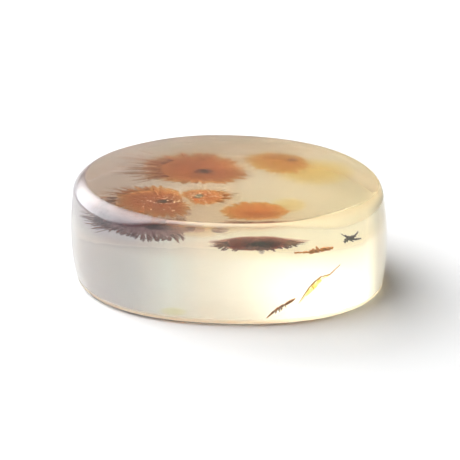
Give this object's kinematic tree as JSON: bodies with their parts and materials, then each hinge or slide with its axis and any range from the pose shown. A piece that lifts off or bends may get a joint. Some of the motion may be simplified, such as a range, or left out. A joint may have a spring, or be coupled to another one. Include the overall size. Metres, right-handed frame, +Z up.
{
  "type": "dendritic agate specimen",
  "caption": "Thick polished oval slab of clear to milky agate with fern-like dendrites in a layer under its flat top, resting on a small flat spot.",
  "frame": {"origin": "on the resting surface, under the middle of the stone's box", "axes": "+X along the stone's longest extent, +Y towards the back, +Z up through the slab's thickness"},
  "size_m": [0.03, 0.0276, 0.01],
  "materials": {
    "agate": "polished, translucent",
    "dendrite": "matt mineral growth inside the stone"
  },
  "bodies": {
    "root": {"agate_stone": "agate"}
  },
  "joints": []
}
